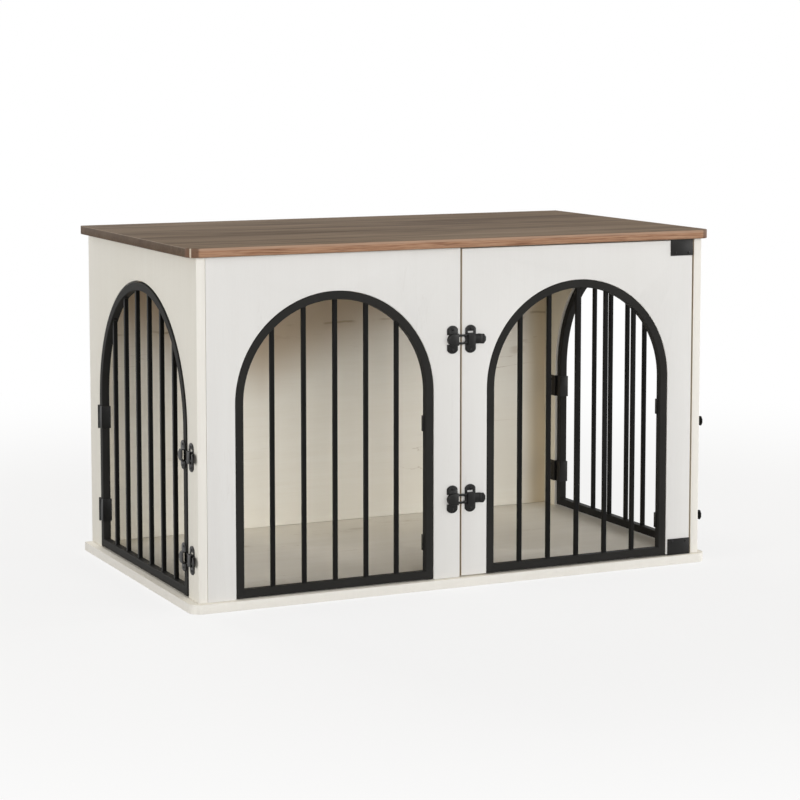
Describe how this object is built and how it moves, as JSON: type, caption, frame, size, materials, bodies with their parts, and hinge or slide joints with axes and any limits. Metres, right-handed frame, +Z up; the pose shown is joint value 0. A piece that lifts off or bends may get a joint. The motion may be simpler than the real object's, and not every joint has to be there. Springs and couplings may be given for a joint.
{
  "type": "dog crate end table",
  "caption": "Dog crate end table: white wooden cabin, walnut top, arched black grilles, hinged front door and side gates with slide latches.",
  "frame": {"origin": "on the floor, under the middle of the base board's outline", "axes": "+X along the width, to the right as seen from the front; the front with the door faces -Y; +Z up"},
  "size_m": [0.95, 0.55, 0.578],
  "materials": {
    "walnut_top": "matte walnut, grain along X",
    "white_wood": "white-washed wood with faint upright grain",
    "black_steel": "satin black paint"
  },
  "bodies": {
    "cabinet": {"base_board": "white_wood", "top_board": "walnut_top", "back_panel": "white_wood", "front_fixed_panel": "white_wood", "left_side_panel": "white_wood", "right_side_panel": "white_wood", "fixed_grille": "black_steel", "fixed_grille_clip_left_lower": "black_steel", "fixed_grille_clip_right_lower": "black_steel", "fixed_grille_clip_left_upper": "black_steel", "fixed_grille_clip_right_upper": "black_steel", "door_top_pivot_bush": "black_steel", "door_bottom_pivot_bush": "black_steel", "front_lower_latch_keeper": "black_steel", "front_upper_latch_keeper": "black_steel", "left_lower_latch_guide": "black_steel", "left_upper_latch_guide": "black_steel", "right_lower_latch_guide": "black_steel", "right_upper_latch_guide": "black_steel", "left_lower_hinge_bracket": "black_steel", "left_upper_hinge_bracket": "black_steel", "right_lower_hinge_bracket": "black_steel", "right_upper_hinge_bracket": "black_steel", "left_lower_hinge_pin": "black_steel", "left_upper_hinge_pin": "black_steel", "right_lower_hinge_pin": "black_steel", "right_upper_hinge_pin": "black_steel"},
    "front_door": {"door_panel": "white_wood", "door_grille": "black_steel", "door_grille_clip_left_lower": "black_steel", "door_grille_clip_right_lower": "black_steel", "door_grille_clip_left_upper": "black_steel", "door_grille_clip_right_upper": "black_steel", "door_top_pivot_plate": "black_steel", "door_bottom_pivot_plate": "black_steel", "front_lower_latch_guide": "black_steel", "front_upper_latch_guide": "black_steel"},
    "left_gate": {"left_gate_grille": "black_steel", "left_lower_hinge_leaf": "black_steel", "left_upper_hinge_leaf": "black_steel", "left_lower_latch_keeper": "black_steel", "left_upper_latch_keeper": "black_steel"},
    "right_gate": {"right_gate_grille": "black_steel", "right_lower_hinge_leaf": "black_steel", "right_upper_hinge_leaf": "black_steel", "right_lower_latch_keeper": "black_steel", "right_upper_latch_keeper": "black_steel"},
    "front_lower_bolt": {"front_lower_latch_bolt": "black_steel"},
    "front_upper_bolt": {"front_upper_latch_bolt": "black_steel"},
    "left_lower_bolt": {"left_lower_latch_bolt": "black_steel"},
    "left_upper_bolt": {"left_upper_latch_bolt": "black_steel"},
    "right_lower_bolt": {"right_lower_latch_bolt": "black_steel"},
    "right_upper_bolt": {"right_upper_latch_bolt": "black_steel"}
  },
  "joints": [
    {"name": "door_hinge", "type": "hinge", "parent": "cabinet", "child": "front_door", "pos_m": [0.4214, -0.2585, 0.289], "axis": [0, 0, 1], "range_deg": [0, 110]},
    {"name": "left_gate_hinge", "type": "hinge", "parent": "cabinet", "child": "left_gate", "pos_m": [-0.4636, 0.2202, 0.165], "axis": [0, 0, -1], "range_deg": [0, 170]},
    {"name": "right_gate_hinge", "type": "hinge", "parent": "cabinet", "child": "right_gate", "pos_m": [0.4636, 0.2202, 0.165], "axis": [0, 0, 1], "range_deg": [0, 170]},
    {"name": "front_lower_bolt_slide", "type": "slide", "parent": "front_door", "child": "front_lower_bolt", "axis": [1, 0, 0], "range_m": [-0.006, 0.009]},
    {"name": "front_upper_bolt_slide", "type": "slide", "parent": "front_door", "child": "front_upper_bolt", "axis": [1, 0, 0], "range_m": [-0.006, 0.009]},
    {"name": "left_lower_bolt_slide", "type": "slide", "parent": "cabinet", "child": "left_lower_bolt", "axis": [0, -1, 0], "range_m": [-0.006, 0.009]},
    {"name": "left_upper_bolt_slide", "type": "slide", "parent": "cabinet", "child": "left_upper_bolt", "axis": [0, -1, 0], "range_m": [-0.006, 0.009]},
    {"name": "right_lower_bolt_slide", "type": "slide", "parent": "cabinet", "child": "right_lower_bolt", "axis": [0, -1, 0], "range_m": [-0.006, 0.009]},
    {"name": "right_upper_bolt_slide", "type": "slide", "parent": "cabinet", "child": "right_upper_bolt", "axis": [0, -1, 0], "range_m": [-0.006, 0.009]}
  ]
}
